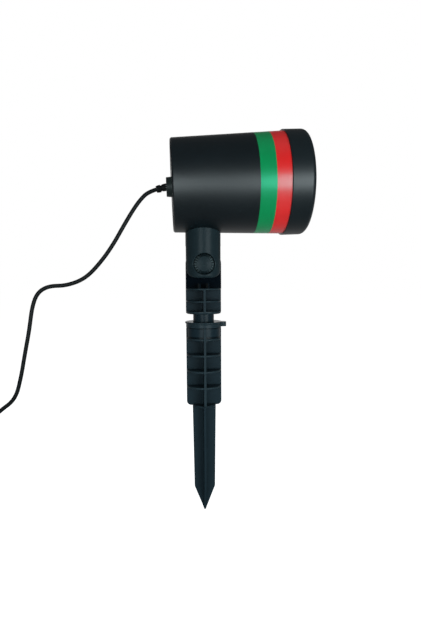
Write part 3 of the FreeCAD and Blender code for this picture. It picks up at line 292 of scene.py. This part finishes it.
# %% [markdown]
# ## Moulded plastic
# The body is injection moulded: a tint near black, a fine spark grain from the mould, and a slow
# drift of gloss where the plastic cooled. An image could hold the grain, but noise in Object
# coordinates has no seams and keeps its size on every piece. Scales are in features per metre. The
# noise only ever adds roughness, so its mean is taken off first.

# %% Mix the plastics
DRIFT_SCALE = 38.0
TONE_DRIFT = 0.14
GLOSS_DRIFT = 0.07
GRAIN_ROUGHNESS = 0.04
MEAN_SHIFT = 0.05
GRAIN_STRENGTH = 0.35
finishes = {}


def principled(name):
    """A new finish, kept under the name of its slot: its node tree and its shader."""
    made = bpy.data.materials.new(name)
    made.use_nodes = True
    finishes[name] = made
    return made.node_tree, made.node_tree.nodes["Principled BSDF"]


def connect(shader, name, wire):
    """Links a wire to an input of a shader."""
    wire.tree.links.new(wire.socket, shader.inputs[name])


def object_noise(tree, scale, detail=3.0, rough=0.55):
    """Noise in Object coordinates."""
    where = coordinates(tree)
    return where.node("ShaderNodeTexNoise", {"noise_dimensions": "3D"},
                      {"Vector": where, "Scale": scale, "Detail": detail, "Roughness": rough})


def dent(shader, height, strength, depth):
    """Bends the normal of a shader by a height."""
    connect(shader, "Normal", height.node("ShaderNodeBump", None, {
        "Strength": strength, "Distance": depth, "Height": height}))


def moulded(name, colour, rough, gloss=0.2, grain=1400.0, depth=0.00003):
    """Plain moulded plastic with a fine grain and a slow drift of tone and gloss."""
    tree, shader = principled(name)
    slow = object_noise(tree, DRIFT_SCALE)
    fine = object_noise(tree, grain, 2.0)
    tones = mix(slow, shade(colour, 1 - TONE_DRIFT), shade(colour, 1 + TONE_DRIFT))
    connect(shader, "Base Color", tones)
    connect(shader, "Roughness", rough - MEAN_SHIFT + GLOSS_DRIFT * slow + GRAIN_ROUGHNESS * fine)
    dent(shader, fine, GRAIN_STRENGTH, depth)
    shader.inputs["Specular IOR Level"].default_value = gloss


moulded("stake_plastic", (0.0108, 0.0212, 0.0280), 0.34, 0.08)
moulded("neck_plastic", (0.0110, 0.0195, 0.0235), 0.32, 0.075)
moulded("housing_plastic", (0.0004, 0.0042, 0.0065), 0.39, 0.69)
moulded("bezel_plastic", (0.0035, 0.0080, 0.0105), 0.39, 0.52)
moulded("inner_plastic", (0.0050, 0.0050, 0.0060), 0.55)
moulded("gland_plastic", (0.0190, 0.0260, 0.0260), 0.42)
moulded("button_plastic", (0.0090, 0.0110, 0.0120), 0.35)
moulded("adapter_plastic", (0.0080, 0.0100, 0.0110), 0.45, grain=900.0)
moulded("tie_plastic", (0.0060, 0.0060, 0.0065), 0.40)
moulded("sensor_body", (0.0700, 0.0660, 0.0620), 0.55)
moulded("seal_rubber", (0.0060, 0.0065, 0.0070), 0.60, 0.15, 800.0)
moulded("lead_sheath", (0.0050, 0.0065, 0.0070), 0.42, 0.14, 300.0, 0.00001)
print("plastics and rubber:", len(finishes))

# %% [markdown]
# ## Painted highlights and shade
# The rims of the stake's ribs get a painted highlight, and the corners at the cup's foot and rim
# get painted shade. The stake turns darker towards the top. The tongue between the neck's cheeks
# gets painted shade and a smoother surface. The knob's ridges get a painted highlight on two
# sides. Such tones could be painted by hand. Here each follows the distance from an axis and the
# height, so each mask is a short sum, and it stays on its piece when the piece turns.

# %% Paint highlights and shade on the stake and the knob
RIM_R = 0.0168
RIM_HIGHLIGHT = (0.0175, 0.0300, 0.0370)
CORNER_SHADE = (0.0010, 0.0030, 0.0042)
CORNER_SHADE_SHARE = 0.8
CUP_FOOT = 0.1796
CUP_RIM = 0.1900
CREVICE = 0.0009
# The dark tone for the painted shade on the tongue and for the darker top of the stake.
DARK_TONE = (0.0004, 0.0022, 0.0044)
DARKENED_SMOOTHER = 0.2
TONGUE_FOOT = 0.2292
TONGUE_HALF = 0.0045
TONGUE_SHARES = (0.6, 0.4)
DARKER_UP_HEIGHTS = (0.10, 0.22)
DARKER_UP_SHARE = 0.25
RIDGE_HIGHLIGHT = (0.0800, 0.1050, 0.1100)
PIVOT = 0.25275
RIDGE_R = 0.0086
RIDGE_HALF = 0.0014
RIDGES = 22
KNOB_BACK = -0.0082
LIT_SIDES = (0.002, 0.007)
PATCH_SCALE = 120.0


def reach_from(first, second):
    """The distance from an axis, out of the two offsets from it."""
    return calculate("SQRT", first * first + second * second)


def within(wire, middle, half):
    """One where a value lies within a half width of a middle, and zero elsewhere."""
    return calculate("COMPARE", wire, middle, half)


def patchy(made, share):
    """A share that comes and goes over the surface."""
    return at_most(share * (0.5 + object_noise(made.node_tree, PATCH_SCALE)), 1.0)


def paint_tone(made, share, colour, smoother=0.0):
    """Mixes a painted tone into a finish by a share, and makes the finish smoother there."""
    shader = made.node_tree.nodes["Principled BSDF"]
    plain, matt = (Wire(made.node_tree, shader.inputs[name].links[0].from_socket)
                   for name in ("Base Color", "Roughness"))
    connect(shader, "Base Color", mix(share, plain, shade(colour)))
    connect(shader, "Roughness", matt - smoother * share)


stake = finishes["stake_plastic"]
x, y, z = axes(coordinates(stake.node_tree))
reach = reach_from(x, y)
# Painted highlight: the rims of the ribs are made paler, as if they catch the light.
paint_tone(stake, patchy(stake, calculate("GREATER_THAN", reach, RIM_R)), RIM_HIGHLIGHT)
# Painted shade: dark lines in the corners at the cup's foot and under its rim.
shaded_corners = within(z, CUP_FOOT + CREVICE, CREVICE) + within(z, CUP_RIM - CREVICE / 2, CREVICE / 2)
paint_tone(stake, CORNER_SHADE_SHARE * shaded_corners * calculate("LESS_THAN", reach, RIM_R), CORNER_SHADE)
# Painted shade on the tongue between the neck's cheeks, which is also made smoother.
all_over, between_cheeks = TONGUE_SHARES
tongue_shade_share = all_over + between_cheeks * within(y, 0.0, TONGUE_HALF)
tongue = calculate("GREATER_THAN", z, TONGUE_FOOT) * tongue_shade_share
# The stake also turns darker and smoother towards the top.
paint_tone(stake, at_most(tongue + DARKER_UP_SHARE * rise(z, *DARKER_UP_HEIGHTS), 1.0), DARK_TONE, DARKENED_SMOOTHER)

neck = finishes["neck_plastic"]
x, y, z = axes(coordinates(neck.node_tree))
height = z - PIVOT
# Painted highlight: the knob's ridges are made paler on its two sides, as if lit there.
ridged = within(reach_from(x, height), RIDGE_R, RIDGE_HALF) * calculate("LESS_THAN", y, KNOB_BACK)
crests = 0.5 + 0.5 * calculate("COSINE", RIDGES * calculate("ARCTAN2", height, x))
lit_sides = rise(calculate("ABSOLUTE", x), *LIT_SIDES)
paint_tone(neck, patchy(neck, ridged * crests * lit_sides), RIDGE_HIGHLIGHT)
print("painted_tones:", stake.name, neck.name)

# %% [markdown]
# ## Painted bands
# The green and the red ring are a smooth paint under a clear gloss. Paint is never dead flat: it
# dries with a faint ripple that breaks the edge of a reflection.

# %% Mix the paints
RIPPLE_SCALE = 420.0
POOL_SCALE = 45.0
PAINT_TONES = (0.93, 1.06)
PAINT_ROUGH = 0.29
POOL_ROUGH = 0.06
RIPPLE_STRENGTH = 0.2
FINE_DEPTH = 0.00002
PAINT_IOR = 1.65
PAINT_GLOSS = 0.95


def painted(name, colour, tint):
    """Glossy paint, whose reflections keep some of its colour."""
    tree, shader = principled(name)
    ripple = object_noise(tree, RIPPLE_SCALE, 1.0)
    slow = object_noise(tree, POOL_SCALE)
    connect(shader, "Base Color", mix(slow, *(shade(colour, tone) for tone in PAINT_TONES)))
    connect(shader, "Roughness", PAINT_ROUGH + POOL_ROUGH * slow)
    dent(shader, ripple, RIPPLE_STRENGTH, FINE_DEPTH)
    shader.inputs["IOR"].default_value = PAINT_IOR
    shader.inputs["Specular IOR Level"].default_value = PAINT_GLOSS
    shader.inputs["Specular Tint"].default_value = shade(tint)


painted("green_enamel", (0.0005, 0.2150, 0.0580), (0.20, 1.0, 0.72))
painted("red_enamel", (0.6700, 0.0010, 0.0010), (0.15, 0.86, 0.86))
print("paints: green_enamel, red_enamel")

# %% [markdown]
# ## Metal, glass and laminate
# These sit in shade or inside the head, and they show when it is opened or seen from the front.
# Each gets the one mark that tells it apart: brushed metal, clear glass with a little haze, a
# ruled film, and a board with its printed tracks.

# %% Mix the other finishes
BRUSH_SCALE = 900.0
BRUSH_TONES = (0.82, 1.08)
BRUSH_ROUGH = 0.18
BRUSH_STRENGTH = 0.2
HAZE_SCALE = 160.0
HAZE_TONES = (0.97, 1.0)
HAZE_ROUGH = 0.03
RULING_SCALE = 700.0
RULING_STRENGTH = 0.3
GLASS_IOR = 1.46
TRACK_SCALE = 260.0
TRACK_EDGE = (0.30, 0.36)
LACQUER_ROUGH = 0.35
TRACK_ROUGH = 0.1


def metal(name, colour, rough, streaks):
    """Metal brushed along Z: the noise is stretched by the streaks."""
    tree, shader = principled(name)
    where = coordinates(tree)
    drawn = where.node("ShaderNodeMapping", None,
                       {"Vector": where, "Scale": (1.0, 1.0, 1.0 / streaks)})
    brushed = drawn.node("ShaderNodeTexNoise", None,
                         {"Vector": drawn, "Scale": BRUSH_SCALE, "Detail": 2.0})
    connect(shader, "Base Color", mix(brushed, *(shade(colour, tone) for tone in BRUSH_TONES)))
    connect(shader, "Roughness", rough + BRUSH_ROUGH * brushed)
    dent(shader, brushed, BRUSH_STRENGTH, FINE_DEPTH)
    shader.inputs["Metallic"].default_value = 1.0


def clear(name, colour, rough, ruled=False):
    """Glass or film; a ruled film has fine parallel lines."""
    tree, shader = principled(name)
    haze = object_noise(tree, HAZE_SCALE)
    connect(shader, "Base Color", mix(haze, *(shade(colour, tone) for tone in HAZE_TONES)))
    connect(shader, "Roughness", rough + HAZE_ROUGH * haze)
    if ruled:
        where = coordinates(tree)
        lines = where.node("ShaderNodeTexWave", {"bands_direction": "Y"},
                           {"Vector": where, "Scale": RULING_SCALE})
        dent(shader, lines, RULING_STRENGTH, FINE_DEPTH)
    shader.inputs["Transmission Weight"].default_value = 1.0
    shader.inputs["IOR"].default_value = GLASS_IOR


def laminate(name, colour, track):
    """Circuit board: lacquer over printed tracks, seen as a faint maze."""
    tree, shader = principled(name)
    where = coordinates(tree)
    maze = where.node("ShaderNodeTexVoronoi", {"distance": "CHEBYCHEV"},
                      {"Vector": where, "Scale": TRACK_SCALE})
    first, last = TRACK_EDGE
    lines = maze.node("ShaderNodeMapRange", None,
                      {"Value": maze, "From Min": first, "From Max": last})
    connect(shader, "Base Color", mix(lines, shade(colour), shade(track)))
    connect(shader, "Roughness", LACQUER_ROUGH + TRACK_ROUGH * lines)


metal("plain_steel", (0.55, 0.55, 0.56), 0.25, 6.0)
metal("carrier_metal", (0.72, 0.73, 0.74), 0.28, 3.0)
metal("module_brass", (0.72, 0.52, 0.20), 0.22, 4.0)
metal("core_iron", (0.16, 0.16, 0.17), 0.45, 12.0)
clear("clear_glass", (0.96, 0.98, 0.98), 0.01)
clear("grating_film", (0.90, 0.95, 0.97), 0.05, True)
clear("sensor_lens", (0.55, 0.30, 0.18), 0.08)
laminate("board_laminate", (0.010, 0.085, 0.035), (0.030, 0.170, 0.070))
print("finishes:", sorted(finishes))

# %% [markdown]
# ## Dress the solids
# The record says which slot each solid takes its finish from, and the finishes above carry the
# slots' names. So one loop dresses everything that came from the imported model.

# %% Give each solid its finish
for part in frame["record"]["subparts"]:
    solid = nodes[part["node"]]
    for slot in solid.material_slots:
        slot.material = finishes[part["material_slot"]]

# %% [markdown]
# ## The lead
# The lead is a soft round cable. It leaves the rear of the head, hangs in the photographed bends,
# reaches the floor outside the picture and is put away there as a tied coil. A spline with the
# route's own points as its control points runs smoothly past every corner. The coil's turns are
# more points of the same spline, wound in and out, layer on layer. The control points of a turn
# stand a little outside it, because the spline runs inside them.

# %% Draw the lead's route
LEAD_R = 0.0020
COIL_FLOOR = 0.0032
ROUTE = [
    (-0.04531, 0.32548), (-0.05340, 0.32290), (-0.0606, 0.3160), (-0.0681, 0.3058),
    (-0.0775, 0.2905), (-0.0885, 0.2715), (-0.1010, 0.2545), (-0.1157, 0.2393),
    (-0.1340, 0.2325), (-0.1510, 0.2325), (-0.1620, 0.2260), (-0.1675, 0.2120),
    (-0.1710, 0.1890), (-0.1760, 0.1660), (-0.1805, 0.1430), (-0.1868, 0.1206),
    (-0.2032, 0.1092), (-0.2170, 0.0940), (-0.2230, 0.0710), (-0.2265, 0.0480),
    (-0.2335, 0.0260), (-0.2440, 0.0100), (-0.2560, COIL_FLOOR), (-0.2680, COIL_FLOOR),
]
TURNS = 4.25
LAYERS = 4
LIFT_TURNS = 0.5
STEPS = 16
TURN_GAP = 0.00075
MEAN_R = 0.0225
PITCH = 2 * LEAD_R + TURN_GAP
OUTER_R = MEAN_R + TURNS * PITCH / 2
COIL_X = ROUTE[-1][0] - 2 * LEAD_R
COIL_TOP = COIL_FLOOR + (LAYERS - 1) * PITCH
TAIL = 0.008


def coil_point(turns):
    """A control point of the coil after a number of turns."""
    layer = min(int(turns / TURNS), LAYERS - 1)
    along = turns - layer * TURNS
    depth = along if layer % 2 == 0 else TURNS - along
    radius = (OUTER_R - depth * PITCH) / math.cos(math.pi / STEPS)
    height = COIL_FLOOR
    for step in range(1, LAYERS):
        share = (turns - step * TURNS + LIFT_TURNS / 2) / LIFT_TURNS
        height += PITCH * math.sin(min(max(share, 0), 1) * math.pi / 2) ** 2
    angle = -math.pi / 2 - 2 * math.pi * turns
    return (COIL_X + radius * math.cos(angle), OUTER_R + radius * math.sin(angle), height)


def drawn_mesh(curve):
    """What a curve looks like now, as a mesh."""
    bpy.context.view_layer.update()
    return bpy.data.meshes.new_from_object(curve.evaluated_get(bpy.context.evaluated_depsgraph_get()))


points = [(x, 0.0, z) for x, z in ROUTE]
points += [coil_point((k + 0.5) / STEPS) for k in range(int(TURNS * LAYERS * STEPS))]
points += [(COIL_X, 0.0, COIL_TOP), (COIL_X - TAIL, 0.0, COIL_TOP)]
route = bpy.data.curves.new("lead_route", "CURVE")
route.dimensions = "3D"
route.resolution_u = 6
line = route.splines.new("NURBS")
line.points.add(len(points) - 1)
for point, place in zip(line.points, points):
    point.co = (*place, 1.0)
line.order_u = 3
line.use_endpoint_u = True
guide = bpy.data.objects.new("lead_route", route)
scene.collection.objects.link(guide)
run = drawn_mesh(guide)

# %% [markdown]
# ## The lead's skin
# The curve's own round bevel gives the tube, and a mesh copy of it takes the place of the
# imported cord and coil, which are hidden.

# %% Make the tube
route.bevel_depth = LEAD_R
route.bevel_resolution = 4
route.use_fill_caps = True
skin = drawn_mesh(guide)
bpy.data.objects.remove(guide)
bpy.data.meshes.remove(run)
skin.materials.clear()
skin.materials.append(finishes["lead_sheath"])
skin.shade_smooth()
lead = bpy.data.objects.new("lead", skin)
scene.collection.objects.link(lead)
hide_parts("power_cord", "cord_coil")
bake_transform(lead)
print("lead skin:", len(skin.polygons), "faces")
